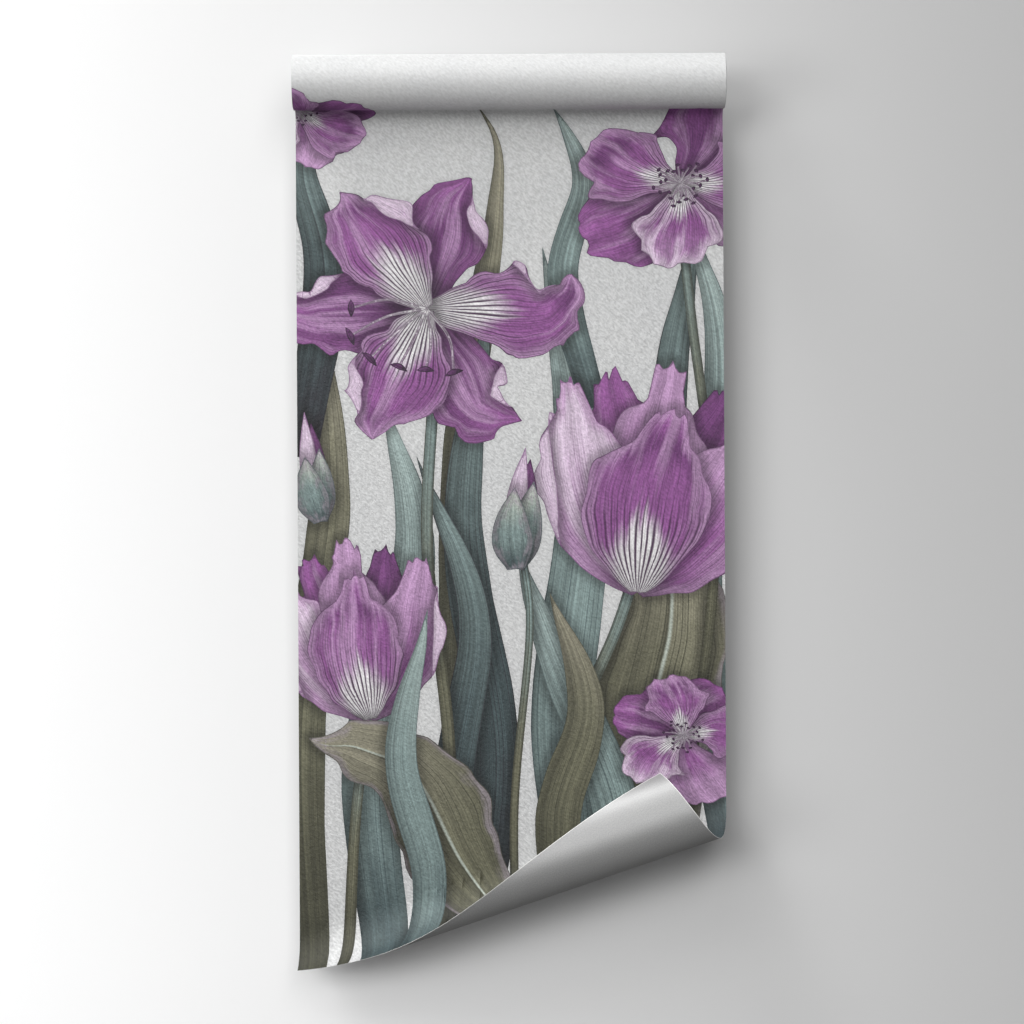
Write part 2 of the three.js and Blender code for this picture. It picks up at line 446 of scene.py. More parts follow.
# ---- the print: the design
def design():
    """The shapes of the print, from the rearmost to the nearest. (u, w), in millimetres."""
    rear = [
        strap("leaf_olive", [(-64, -20), (-62, 320), (-62, 640), (-14, 980), (-40, 1082)], 52),
        strap("leaf_dark", [(-60, -20), (-20, 260), (-60, 560), (-20, 860)], 58),
        strap("leaf_teal", [(96, -20), (62, 300), (88, 600), (40, 900)], 76),
        strap("leaf_olive", [(-250, -20), (-262, 300), (-224, 600), (-246, 880)], 60),
        strap("leaf_dark", [(150, 60), (205, 420), (196, 700), (240, 960)], 62),
        strap("leaf_teal", [(278, 100), (232, 460), (262, 760), (214, 960)], 58),
        strap("leaf_teal", [(-150, -20), (-176, 250), (-120, 520), (-160, 720)], 70),
        strap("leaf_dark", [(-262, 640), (-230, 860), (-256, 1000), (-226, 1092)], 52),
        strap("leaf_teal", [(104, 700), (66, 860), (92, 980), (54, 1076)], 40),
    ]
    middle = [
        lance("leaf_broad", [(236, 60), (168, 250), (198, 480), (116, 660)], 150),
        strap("leaf_teal", [(140, -20), (128, 200), (46, 410), (4, 530)], 60),
        strap("leaf_dark", [(-10, -20), (-74, 200), (-46, 440), (-118, 640)], 50),
        stem([(40, -20), (58, 240), (132, 430), (160, 520)], 18),
        stem([(-96, -20), (-78, 260), (-104, 520), (-96, 720)], 18),
        stem([(-206, -20), (-196, 180), (-178, 330)], 16),
        stem([(6, -20), (2, 200), (22, 420), (14, 520)], 12),
        stem([(210, 180), (252, 520), (224, 820), (206, 980)], 15),
    ]
    blooms = (
        open_bloom((212, 978), 134, 14, 0.86, -8)
        + lily((-104, 824), 190, 18, 0.9, 8)
        + open_bloom((-262, 1072), 96, 40, 0.8, 10)
        + cup_bloom((156, 470), 272, 232, 8, 0.06)
        + cup_bloom((-176, 314), 214, 170, -9, 0.04)
        + bud((6, 500), 112, 56, 3)
        + bud((-236, 560), 92, 46, -10, 0.8)
        + open_bloom((212, 292), 98, 30, 0.82, 12)
    )
    front = [
        lance("leaf_broad", [(20, 30), (-60, 130), (-130, 250), (-250, 292)], 124),
        strap("leaf_teal", [(-120, -20), (-104, 120), (-138, 270), (-104, 450)], 44),
        strap("leaf_olive", [(70, 20), (56, 190), (92, 330), (48, 470)], 56),
    ]
    return rear + middle + blooms + front


# ---- the web's mesh
def clipped(a, b, low, high):
    """The part of segment a-b inside a box, or None."""
    start, end = 0.0, 1.0
    for k in (0, 1):
        d = b[k] - a[k]
        if abs(d) < 1e-12:
            if not low[k] <= a[k] <= high[k]:
                return None
            continue
        near, far = sorted(((low[k] - a[k]) / d, (high[k] - a[k]) / d))
        start, end = max(start, near), min(end, far)
    if start >= end:
        return None
    return a + (b - a) * start, a + (b - a) * end


def without_slivers(faces, thin):
    """Leaves out thin faces from the outside inwards: they lie along the sheet's straight edges,
    and would span the curl once the sheet is bent."""
    owner = {(int(f[k - 1]), int(f[k])): i for i, f in enumerate(faces) for k in range(3)}
    kept = np.ones(len(faces), bool)
    queue = [i for (a, b), i in owner.items() if (b, a) not in owner]
    while queue:
        i = queue.pop()
        if thin[i] and kept[i]:
            kept[i] = False
            behind = ((int(faces[i][k]), int(faces[i][k - 1])) for k in range(3))
            queue += [owner[side] for side in behind if side in owner]
    return faces[kept]


def triangulated(points, edges):
    """Flat points and the triangles between them, with the given edges kept as edges."""
    result = delaunay_2d_cdt([Vector(p) for p in points], edges, [], 0, SAME_PLACE, True)
    flat = np.array([tuple(p) for p in result[0]])
    flat = np.where(flat < flat.min(0) + SLIVER, flat.min(0), flat)
    flat = np.where(flat > flat.max(0) - SLIVER, flat.max(0), flat)
    faces = np.array([f for f in result[2] if len(f) == 3])
    a, b, c = flat[faces[:, 0]], flat[faces[:, 1]], flat[faces[:, 2]]
    area = (b[:, 0] - a[:, 0]) * (c[:, 1] - a[:, 1]) - (b[:, 1] - a[:, 1]) * (c[:, 0] - a[:, 0])
    faces[area < 0] = faces[area < 0][:, ::-1]
    longest = np.max([np.hypot(*side.T) for side in (b - a, c - b, a - c)], 0)
    return flat, without_slivers(faces, np.abs(area) < SLIVER * longest), result[3]


def front_mesh(motifs):
    """The printed face of the web, flat, with every outline of the print as edges."""
    columns, rows = round(WIDTH / FRONT_GRID), round(TOP / FRONT_GRID)
    us, ws = np.linspace(-HALF, HALF, columns + 1), np.linspace(0, TOP, rows + 1)
    points = [(u, w) for w in ws for u in us]
    edges = []
    for i in range(columns):
        top = rows * (columns + 1) + i
        edges += [(i, i + 1), (top, top + 1)]
    for j in range(rows):
        row = j * (columns + 1)
        edges += [(row, row + columns + 1), (row + columns, row + 2 * columns + 1)]
    low, high = np.array((-HALF, 0.0)), np.array((HALF, TOP))
    for m in motifs:
        for a, b in zip(m.outline, np.roll(m.outline, -1, 0)):
            kept = clipped(a, b, low, high)
            if kept is not None and np.hypot(*(kept[1] - kept[0])) > SAME_PLACE:
                edges.append((len(points), len(points) + 1))
                points += [tuple(kept[0]), tuple(kept[1])]
    flat, faces, _ = triangulated(points, edges)
    return flat, faces


def rim_of(faces):
    """The edges round the outside, each with its face on its left."""
    sides = {(int(face[k - 1]), int(face[k])) for face in faces for k in range(3)}
    return [(a, b) for a, b in sides if (b, a) not in sides]


def back_mesh(flat, rim):
    """The plain face: points that pair with the rim of the front, and an even grid within."""
    starts = [a for a, _ in rim]
    order = {a: i for i, a in enumerate(starts)}
    points = [tuple(flat[a]) for a in starts]
    edges = [(order[a], order[b]) for a, b in rim]
    columns, rows = round(WIDTH / BACK_GRID), round(TOP / BACK_GRID)
    inner_u = np.linspace(-HALF, HALF, columns + 1)[1:-1]
    points += [(u, w) for w in np.linspace(0, TOP, rows + 1)[1:-1] for u in inner_u]
    back_flat, back_faces, sources = triangulated(points, edges)
    partner = {starts[i]: k for k, found in enumerate(sources) for i in found if i < len(starts)}
    return back_flat, back_faces, partner


def print_on(flat, faces, motifs):
    """For each face, the motif it shows (-1 is the ground), and its corners' drawing values."""
    centre = flat[faces].mean(1)
    shows = np.full(len(faces), -1)
    free = np.ones(len(faces), bool)
    for k in reversed(range(len(motifs))):
        hit = free.copy()
        hit[free] = motifs[k].covers(centre[free])
        shows[hit] = k
        free &= ~hit
    motif_uv = np.zeros((len(faces), 3, 2))
    near_uv = np.full((len(faces), 3, 2), SHADE_REACH)
    for k in range(-1, len(motifs)):
        mine = np.flatnonzero(shows == k)
        if not len(mine):
            continue
        index, inverse = np.unique(faces[mine], return_inverse=True)
        p = flat[index]
        inverse = inverse.reshape(-1, 3)
        if k >= 0:
            s, t = motifs[k].along_and_across(p)
            motif_uv[mine] = np.stack((s, t), 1)[inverse]
            near_uv[mine, :, 0] = outline_distance(p, motifs[k].outline, SHADE_REACH)[inverse]
        over = np.full(len(p), SHADE_REACH)
        for above in motifs[k + 1:]:
            beside = (np.all(above.high + SHADE_REACH > p.min(0))
                      and np.all(above.low - SHADE_REACH < p.max(0)))
            if beside and above.ink not in FINE_INKS:
                over = np.minimum(over, outline_distance(p, above.outline, SHADE_REACH))
        near_uv[mine, :, 1] = over[inverse]
    return shows, motif_uv, near_uv


# Cells of the bake map. Each is a stretch of the web, from its lowest to its highest (u, w), and
# the left, bottom, right and top of its place in the map. The cut edge is one colour all along,
# so its faces share one narrow cell.
LOWER_CELL = ((-HALF, 0), (HALF, TOP / 2), (0.005, 0.005, 0.49, 0.605))
UPPER_CELL = ((-HALF, TOP / 2), (HALF, TOP), (0.505, 0.005, 0.99, 0.605))
BACK_CELL = ((-HALF, 0), (HALF, TOP), (0.005, 0.635, 0.49, 0.99))
WOUND_FRONT_CELL = ((-HALF, TOP), (HALF, LENGTH_USED), (0.505, 0.635, 0.7, 0.99))
WOUND_BACK_CELL = ((-HALF, TOP), (HALF, LENGTH_USED), (0.715, 0.635, 0.91, 0.99))
EDGE_CELL = ((-HALF, 0), (HALF, LENGTH_USED), (0.93, 0.64, 0.99, 0.99))


def in_cell(flat, cell):
    """Where points of the web lie in a cell of the bake map."""
    low, high, box = cell
    share = (flat - low) / (np.asarray(high, float) - low)
    return np.array(box[:2]) + share * (np.array(box[2:]) - box[:2])


def put(name, data):
    """A new object in the scene."""
    made = bpy.data.objects.new(name, data)
    bpy.context.collection.objects.link(made)
    return made


class Web:
    """Collects the faces of the web, with what their materials and the bake need to know."""

    def __init__(self, materials):
        self.materials = materials
        self.ink_number = {material.name: k for k, material in enumerate(materials)}
        self.points, self.faces, self.inks, self.seeds = [], [], [], []
        self.layers = {"flat": [], "motif": [], "near": [], "OFBake": []}
        self.count = 0

    def add_points(self, flat, side):
        """Adds points on the printed (1) or the plain (-1) face; gives the number of the first."""
        middle, face = web_point(*np.asarray(flat).T)
        first = self.count
        self.points.append(middle + face * (side * WEB / 2))
        self.count += len(middle)
        return first

    def add_faces(self, faces, ink, flat, bake, seed=0, motif=0.0, near=SHADE_REACH):
        """faces are rows of point numbers. ink is a name, or a number for each face, and seed
        is one as well. The rest are values at the faces' corners."""
        if isinstance(ink, str):
            ink = self.ink_number[ink]
        faces = np.asarray(faces)
        pairs = (*faces.shape, 2)
        self.faces += faces.tolist()
        self.inks.append(np.broadcast_to(ink, len(faces)))
        self.seeds.append(np.broadcast_to(seed, len(faces)))
        for name, value in zip(self.layers, (flat * MM, motif, near, bake)):
            self.layers[name].append(np.broadcast_to(value, pairs).reshape(-1, 2))

    def object(self, name):
        mesh = bpy.data.meshes.new(name)
        mesh.from_pydata((np.concatenate(self.points) * MM).tolist(), [], self.faces)
        inks = np.concatenate(self.inks)
        mesh.polygons.foreach_set("material_index", inks)
        for layer, values in self.layers.items():
            data = np.concatenate(values).astype(np.float32)
            mesh.uv_layers.new(name=layer).data.foreach_set("uv", data.ravel())
        seeds = np.concatenate(self.seeds).astype(np.float32)
        mesh.attributes.new("seed", "FLOAT", "FACE").data.foreach_set("value", seeds)
        for material in self.materials:
            mesh.materials.append(material)
        edge_faces = inks == self.ink_number["paper_edge"]
        mesh.polygons.foreach_set("use_smooth", ~edge_faces)
        sharp = np.zeros(len(mesh.edges), bool)
        for k in np.flatnonzero(edge_faces):
            for loop in mesh.polygons[k].loop_indices:
                sharp[mesh.loops[loop].edge_index] = True
        mesh.attributes.new("sharp_edge", "BOOLEAN", "EDGE").data.foreach_set("value", sharp)
        mesh.update()
        return put(name, mesh)


def add_printed_web(web):
    """The drop, the reverse bend and the outer turn. Gives the last row, front and back."""
    motifs = design()
    flat, faces = front_mesh(motifs)
    shows, motif_uv, near_uv = print_on(flat, faces, motifs)
    inks = np.array([web.ink_number[m.ink] for m in motifs] + [web.ink_number["ground"]])[shows]
    seeds = np.array([m.number for m in motifs] + [0])[shows]
    corners = flat[faces]
    upper = (corners[:, :, 1].mean(1) > TOP / 2)[:, None, None]
    bake = np.where(upper, in_cell(corners, UPPER_CELL), in_cell(corners, LOWER_CELL))
    web.add_points(flat, 1)
    web.add_faces(faces, inks, corners, bake, seeds, motif_uv, near_uv)

    rim = rim_of(faces)
    back_flat, back_faces, partner = back_mesh(flat, rim)
    first = web.add_points(back_flat, -1)
    corners = back_flat[back_faces][:, ::-1]
    web.add_faces(back_faces[:, ::-1] + first, "paper_back", corners, in_cell(corners, BACK_CELL))

    inside = [(a, b) for a, b in rim if min(flat[a][1], flat[b][1]) > TOP - SAME_PLACE]
    cut = np.array([edge for edge in rim if edge not in inside])
    opposite = np.vectorize(partner.get)(cut) + first
    quads = np.stack((cut[:, 1], cut[:, 0], opposite[:, 0], opposite[:, 1]), 1)
    corners = flat[cut[:, [1, 0, 0, 1]]]
    web.add_faces(quads, "paper_edge", corners, in_cell(corners, EDGE_CELL))
    row = sorted({i for edge in inside for i in edge}, key=lambda i: flat[i][0])
    return np.array(row), np.array([partner[i] + first for i in row]), flat[row]


def row_quads(picks):
    """Quads from each row to the next. A pick is a corner's table, its row and its side."""
    return np.stack([table[row:len(table) - 1 + row, side] for table, row, side in picks], 1)


def add_wound_web(web, front_row, back_row, row_flat):
    """The turns within the outer one, which carry no more than the ground of the print."""
    w = PEEL + SPIRAL_USED[PRINTED_STEPS + 1:]
    flat = np.stack([np.stack((w * 0 + u, w), 1) for u in (-HALF, HALF)], 1)  # by row and side
    numbers = np.arange(2 * len(w)).reshape(-1, 2)
    front = web.add_points(flat.reshape(-1, 2), 1) + numbers
    rear = web.add_points(flat.reshape(-1, 2), -1) + numbers
    loop = ((0, 0), (0, 1), (1, 1), (1, 0))  # row and side of a quad's corners
    for row, table, ink, cell, way in ((front_row, front, "ground", WOUND_FRONT_CELL, 1),
                                       (back_row, rear, "paper_back", WOUND_BACK_CELL, -1)):
        # the first face joins the many points of the printed web's end
        corners = np.concatenate((row_flat, flat[0, ::-1]))[None, ::way]
        faces = [[*row, table[0, 1], table[0, 0]][::way]]
        web.add_faces(faces, ink, corners, in_cell(corners, cell))
        corners = row_quads([(flat, *pick) for pick in loop])[:, ::way]
        faces = row_quads([(table, *pick) for pick in loop])[:, ::way]
        web.add_faces(faces, ink, corners, in_cell(corners, cell))

    front = np.concatenate(([[front_row[0], front_row[-1]]], front))
    rear = np.concatenate(([[back_row[0], back_row[-1]]], rear))
    flat = np.concatenate(([[row_flat[0], row_flat[-1]]], flat))
    for side, (a, b) in ((0, (0, 1)), (1, (1, 0))):
        picks = [(front, a, side), (front, b, side), (rear, b, side), (rear, a, side)]
        corners = row_quads([(flat, row, side) for _, row, _ in picks])
        web.add_faces(row_quads(picks), "paper_edge", corners, in_cell(corners, EDGE_CELL))
    end = [[front[-1, 0], front[-1, 1], rear[-1, 1], rear[-1, 0]]]
    corners = flat[-1][[0, 1, 1, 0]][None]
    web.add_faces(end, "paper_edge", corners, in_cell(corners, EDGE_CELL))


def build_web(materials):
    web = Web(materials)
    add_wound_web(web, *add_printed_web(web))
    return web.object("wallpaper_web")


# ---- materials
def linear(r, g, b):
    """A colour given as 0 to 255 in sRGB."""
    return tuple((c / 255 / 12.92 if c <= 10 else ((c / 255 + 0.055) / 1.055) ** 2.4)
                 for c in (r, g, b)) + (1.0,)


PURPLE = linear(134, 80, 136)
DEEP = linear(102, 56, 105)
PLUM = linear(64, 34, 66)
MAUVE = linear(174, 138, 175)
PALE = linear(202, 184, 202)
WHITE = linear(218, 217, 217)
INK = linear(34, 28, 36)
TEAL = linear(118, 135, 133)
TEAL_LIGHT = linear(153, 168, 165)
TEAL_DARK = linear(60, 73, 75)
OLIVE = linear(98, 97, 79)
OLIVE_LIGHT = linear(138, 134, 117)
OLIVE_DARK = linear(56, 56, 44)
SAGE = linear(172, 180, 170)
LILAC_GREY = linear(150, 140, 150)


class Graph:
    """A material's node tree, with short calls for the nodes that the inks are made of."""

    def __init__(self, name):
        self.material = bpy.data.materials.new(name)
        self.material.use_nodes = True
        self.tree = self.material.node_tree
        self.tree.nodes.clear()

    def node(self, kind, inputs=(), out=0, **settings):
        made = self.tree.nodes.new("ShaderNode" + kind)
        for key, value in settings.items():
            setattr(made, key, value)
        for key, value in dict(inputs).items():
            if isinstance(value, bpy.types.NodeSocket):
                self.tree.links.new(value, made.inputs[key])
            else:
                made.inputs[key].default_value = value
        return made.outputs[out] if made.outputs else made

    def math(self, operation, *values):
        return self.node("Math", enumerate(values), operation=operation)

    def times(self, a, b):
        return self.math("MULTIPLY", a, b)

    def plus(self, a, b):
        return self.math("ADD", a, b)

    def absolute(self, value):
        return self.math("ABSOLUTE", value)

    def swing(self, noise, reach):
        """A noise of 0 to 1 as one about 0, half of reach to either side."""
        return self.times(self.plus(noise, -0.5), reach)

    def smooth(self, value, low, high, start=0.0, end=1.0):
        """start where value is at low, end where it is at high, with a soft step between."""
        return self.node("MapRange", {0: value, 1: low, 2: high, 3: start, 4: end},
                         interpolation_type="SMOOTHSTEP")

    def vector(self, x, y, z=0.0):
        return self.node("CombineXYZ", {0: x, 1: y, 2: z})

    def noise(self, vector, scale=1.0, detail=2.0, rough=0.5):
        return self.node("TexNoise", {"Vector": vector, "Scale": scale, "Detail": detail,
                                      "Roughness": rough})

    def mix(self, factor, a, b, blend="MIX"):
        return self.node("Mix", {0: factor, 6: a, 7: b}, out=2, data_type="RGBA",
                         blend_type=blend, clamp_factor=True)

    def shade(self, colour, factor):
        """colour times a grey factor."""
        grey = self.node("CombineColor", {0: factor, 1: factor, 2: factor})
        return self.mix(1.0, colour, grey, "MULTIPLY")

    def ramp(self, value, stops):
        ramp = self.tree.nodes.new("ShaderNodeValToRGB")
        self.tree.links.new(value, ramp.inputs[0])
        band = ramp.color_ramp
        band.interpolation = "EASE"
        for element, (position, colour) in ((band.elements[0], stops[0]),
                                            (band.elements[1], stops[-1])):
            element.position, element.color = position, colour
        for position, colour in stops[1:-1]:
            band.elements.new(position).color = colour
        return ramp.outputs[0]

    def split(self, vector):
        """The x, y and z of a vector."""
        made = self.tree.nodes.new("ShaderNodeSeparateXYZ")
        self.tree.links.new(vector, made.inputs[0])
        return made.outputs

    def uv(self, name):
        """A UV layer, as a vector and as its two numbers."""
        both = self.node("UVMap", uv_map=name)
        u, v, _ = self.split(both)
        return both, u, v

    def finish(self, colour, height, distance, roughness=0.62, specular=0.35, ior=1.5):
        """The shader, with a relief of height times distance, in metres."""
        bump = self.node("Bump", {"Strength": 1.0, "Distance": distance, "Height": height})
        shader = self.node("BsdfPrincipled", {"Base Color": colour, "Roughness": roughness,
                                              "Specular IOR Level": specular, "IOR": ior,
                                              "Normal": bump})
        self.node("OutputMaterial", {0: shader})
        return self.material


EMBOSS = 0.0012  # metres, height of the embossed plaster grain
EMBOSS_LEAN = math.radians(-42)  # its short strokes run down to the right
STROKE_SHARE = 0.5  # their width, as a share of their length
WOUND_RELIEF = 0.42  # share of the height that shows where the web is wound tight
HOLLOW_PAINTED_SHADE, RIDGE_PAINTED_LIGHT = 0.84, 1.16  # painted shade in the hollows of the relief and painted light on its ridges


def emboss(g):
    """The plaster-like relief pressed into the printed face, from about -0.2 to 0.2."""
    flat, _, w = g.uv("flat")
    strokes = g.node("Mapping", {0: flat, "Rotation": (0, 0, EMBOSS_LEAN),
                                 "Scale": (1, STROKE_SHARE, 1)}, vector_type="TEXTURE")
    broad = g.swing(g.noise(strokes, 90, 1), 0.3)
    coarse = g.swing(g.noise(strokes, 210, 2), 0.8)
    fine = g.swing(g.noise(flat, 640, 2), 0.2)
    pressed = g.smooth(w, FLAT_TOP * MM, PEEL * MM, 1.0, WOUND_RELIEF)
    return g.times(g.plus(broad, g.plus(coarse, fine)), pressed)


def printed(g, colour):
    """Ends every ink with the relief, with painted shade in its hollows and painted light on its
    ridges.
    """
    height = emboss(g)
    # painted shade in the hollows of the relief and painted light on its ridges
    painted_light_and_shade = g.smooth(height, -0.2, 0.2, HOLLOW_PAINTED_SHADE, RIDGE_PAINTED_LIGHT)
    return g.finish(g.shade(colour, painted_light_and_shade), height, EMBOSS)


def ground_material():
    g = Graph("ground")
    flat, _, _ = g.uv("flat")
    _, _, over = g.uv("near")
    wash = g.noise(flat, 9, 3, 0.6)
    colour = g.mix(wash, linear(186, 187, 188), linear(198, 198, 197))
    return printed(g, g.shade(colour, g.smooth(over, 0, 5, 0.9, 1.0)))


OUTLINE_STRENGTH = (0.44, 0.8)  # where it is faintest and where it is boldest
UNDER_TONE, UNDER_REACH = 0.48, 16.0  # the shade under what lies over a shape, and how far it goes


class Ink(Graph):
    """A printed colour, with the drawing values that the web carries for its motifs."""

    def __init__(self, name):
        super().__init__(name)
        _, self.s, self.t = self.uv("motif")  # along and across the shape
        _, self.edge, self.over = self.uv("near")  # distance to its outline, and to what covers it
        self.flat, _, _ = self.uv("flat")
        self.seed = self.node("Attribute", out=2, attribute_name="seed",
                              attribute_type="GEOMETRY")
        spot = self.vector(self.times(self.s, 2.4), self.times(self.t, 1.3),
                           self.times(self.seed, 5.3))
        self.wander = self.plus(self.noise(spot), -0.5)
        self.across = self.plus(self.t, self.times(self.wander, 0.16))
        self.wash = self.plus(self.noise(self.flat, 22, 4, 0.6), -0.5)

    def lengthwise(self, along, across, detail=2.0, rough=0.5, salt=1.0):
        """Noise drawn out from root to tip."""
        spot = self.vector(self.times(self.s, along), self.times(self.across, across),
                           self.times(self.seed, salt))
        return self.noise(spot, 1.0, detail, rough)

    def lines(self, count, width, shift=0.0):
        """1 on each of count lines from root to tip, 0 between them."""
        uneven = self.swing(self.lengthwise(0.6, 5.0, salt=2.0), 0.9)
        place = self.math("MULTIPLY_ADD", self.across, count / 2, self.plus(uneven, shift))
        return self.smooth(self.math("PINGPONG", place, 0.5), 0.0, width, 1.0, 0.0)

    def coloured(self, stops):
        drift = self.plus(self.times(self.wander, 0.25), self.times(self.wash, 0.22))
        return self.ramp(self.plus(self.s, drift), stops)

    def finished(self, colour, dark):
        """The dark outline, and the shade under whatever lies over this shape."""
        strength = self.smooth(self.lengthwise(3.0, 2.0, salt=4.0), 0.35, 0.6, *OUTLINE_STRENGTH)
        outline = self.times(self.smooth(self.edge, 0.5, 1.5, 1.0, 0.0), strength)
        colour = self.mix(outline, colour, dark)
        under = self.smooth(self.over, 0.0, UNDER_REACH, UNDER_TONE, 1.0)
        return printed(self, self.shade(colour, under))


def petal_ink(name, stops, dark, light, margin, throat=None, veins=36):
    """Soft colour in flames from the root, a pale rippled margin and fine dark veins."""
    g = Ink(name)
    colour = g.coloured(stops)
    flames = g.smooth(g.lengthwise(1.1, 3.2, 2, salt=3.0), 0.46, 0.66)
    colour = g.mix(g.times(flames, g.smooth(g.s, 0.05, 0.5, 0.15, 0.75)), colour, light)
    ragged = g.plus(g.edge, g.swing(g.lengthwise(5.0, 9.0, 3, salt=6.0), 26))
    colour = g.mix(g.smooth(ragged, 1, 17, 0.8, 0.0), colour, margin)

    pale = None
    if throat is not None:
        reach = g.plus(g.s, g.times(g.absolute(g.across), 0.34))
        reach = g.plus(reach, g.swing(g.lengthwise(2.0, 12.0, 2, salt=8.0), 0.3))
        pale = g.smooth(reach, 0.3, 0.52, 1.0, 0.0)
        colour = g.mix(g.times(pale, 0.95), colour, throat)

    wave = g.math("SINE", g.plus(g.times(g.t, WAVES * math.pi), g.times(g.seed, WAVE_TURN)))
    wave = g.plus(wave, g.times(g.wander, 1.6))
    depth = g.times(g.smooth(g.s, 0.2, 0.95), 0.17)
    colour = g.shade(colour, g.plus(g.times(wave, depth), 1.0))
    colour = g.shade(colour, g.smooth(g.absolute(g.t), 0.25, 1.0, 1.05, 0.84))
    colour = g.shade(colour, g.smooth(g.s, 0.0, 0.3, 0.72, 1.0))

    colour = g.shade(colour, g.smooth(g.lengthwise(7, 30, 3, 0.65), 0.25, 0.75, 0.74, 1.22))
    uneven = g.smooth(g.lengthwise(4.0, 14.0, salt=5.0), 0.35, 0.62, 0.1, 1.0)
    main = g.times(g.lines(veins, 0.17), g.smooth(g.s, 0.25, 1.0, 0.85, 0.35))
    side = g.times(g.lines(veins * 2, 0.2, 0.25), g.smooth(g.s, 0.3, 0.6, 0.0, 0.4))
    drawn = g.times(g.math("MAXIMUM", main, side), uneven)
    if pale is not None:
        taper = g.smooth(g.s, 0.1, 0.75, 0.34, 0.1)
        bold = g.times(g.lines(veins * 0.5, taper), g.smooth(g.s, 0.35, 0.72, 0.92, 0.0))
        bold = g.times(bold, g.smooth(uneven, 0.0, 0.4, 0.5, 1.0))
        drawn = g.math("MAXIMUM", g.times(drawn, g.smooth(pale, 0.0, 1.0, 1.0, 0.4)), bold)
        colour = g.mix(g.times(bold, pale), colour, INK)
    return g.finished(g.mix(drawn, colour, dark), dark)


def leaf_ink(name, stops, dark, rib=None, veins=12, fold=0.13, body=0.22, margin=None):
    """Long parallel veins and bands, one half in shade along the middle fold."""
    g = Ink(name)
    colour = g.coloured(stops)
    bands = g.lengthwise(0.5, 3.6, 2, salt=3.0)
    colour = g.shade(colour, g.smooth(bands, 0.3, 0.7, 0.76, 1.2))
    if margin is not None:
        ragged = g.plus(g.edge, g.swing(g.lengthwise(9.0, 3.0, 3, salt=6.0), 40))
        colour = g.mix(g.smooth(ragged, -2, 12, 0.7, 0.0), colour, margin)
    colour = g.shade(colour, g.smooth(g.absolute(g.t), 0.3, 1.0, 1.05, 1.0 - body))
    colour = g.shade(colour, g.smooth(g.across, -0.05, 0.05, 1.0 + fold, 1.0 - fold))
    colour = g.shade(colour, g.smooth(g.lengthwise(9, 26, 3, 0.65), 0.25, 0.75, 0.8, 1.17))
    uneven = g.smooth(g.lengthwise(1.6, 9.0, salt=5.0), 0.38, 0.6, 0.08, 0.9)
    fine = g.times(g.lines(veins * 2, 0.2, 0.2), 0.3)
    drawn = g.math("MAXIMUM", g.times(g.lines(veins, 0.13), uneven), fine)
    colour = g.mix(drawn, colour, dark)
    if rib is not None:
        thin = g.smooth(g.absolute(g.across), 0.0, 0.05, 1.0, 0.0)
        colour = g.mix(g.times(thin, g.smooth(g.s, 0.8, 1.0, 0.9, 0.0)), colour, rib)
        beside = g.smooth(g.absolute(g.plus(g.across, -0.055)), 0.0, 0.03, 0.7, 0.0)
        colour = g.mix(g.times(beside, g.smooth(g.s, 0.6, 1.0, 1.0, 0.0)), colour, dark)
    return g.finished(colour, dark)


def print_materials():
    return [
        ground_material(),
        petal_ink("petal", [(0, DEEP), (0.35, PURPLE), (0.85, MAUVE)], PLUM, MAUVE, MAUVE),
        petal_ink("petal_pale", [(0, PURPLE), (0.3, MAUVE), (0.85, PALE)], DEEP, PALE, MAUVE),
        petal_ink("petal_deep", [(0, PLUM), (0.4, DEEP), (0.9, PURPLE)], PLUM, MAUVE, PURPLE),
        petal_ink("petal_dark", [(0, INK), (0.4, PLUM), (0.9, DEEP)], INK, PURPLE, DEEP),
        petal_ink("petal_throat", [(0, PURPLE), (0.6, PURPLE), (0.8, DEEP), (1, PURPLE)], PLUM,
                  MAUVE, MAUVE, WHITE),
        petal_ink("petal_pale_throat", [(0, MAUVE), (0.5, PURPLE), (1, MAUVE)], PLUM,
                  PALE, PALE, WHITE),
        petal_ink("petal_under", [(0, MAUVE), (0.5, PALE), (1, MAUVE)], DEEP, PALE, PALE, veins=10),
        leaf_ink("sepal", [(0, TEAL_DARK), (0.35, TEAL), (0.8, SAGE), (1, MAUVE)], TEAL_DARK,
                 fold=0.05, body=0.4, margin=LILAC_GREY),
        leaf_ink("leaf_teal", [(0, TEAL_DARK), (0.35, TEAL), (1, TEAL_LIGHT)], TEAL_DARK),
        leaf_ink("leaf_dark", [(0, INK), (0.3, TEAL_DARK), (1, TEAL)], INK),
        leaf_ink("leaf_olive", [(0, OLIVE_DARK), (0.4, OLIVE), (1, OLIVE_LIGHT)], OLIVE_DARK),
        leaf_ink("leaf_broad", [(0, OLIVE_DARK), (0.3, OLIVE), (0.9, OLIVE_LIGHT)], OLIVE_DARK,
                 rib=SAGE, veins=20, fold=0.1, margin=LILAC_GREY),
        leaf_ink("stem", [(0, OLIVE_DARK), (0.5, OLIVE), (1, TEAL)], OLIVE_DARK, veins=3,
                 fold=0.0, body=0.5),
        leaf_ink("thread", [(0, WHITE), (1, PALE)], PLUM, veins=1, fold=0.0),
        leaf_ink("anther", [(0, PLUM), (1, DEEP)], INK, veins=1, fold=0.1),
    ]


# the paper's white core, and a painted highlight where the back borders the cut
CORE_AND_CUT_HIGHLIGHT = linear(222, 221, 218)
UNEVEN_TURNS = (0.66, 1.04)  # tones of the cut edge, so that the turns read as turns
TURN_GRAIN = 1.3  # changes of that tone in a metre of the web
CORE_AND_HIGHLIGHT_BAND = (0.0002, 0.0009)  # metres from the cut over which the back turns to the pale core colour, a painted highlight along the cut
FIBRE_RELIEF = 0.00008  # metres


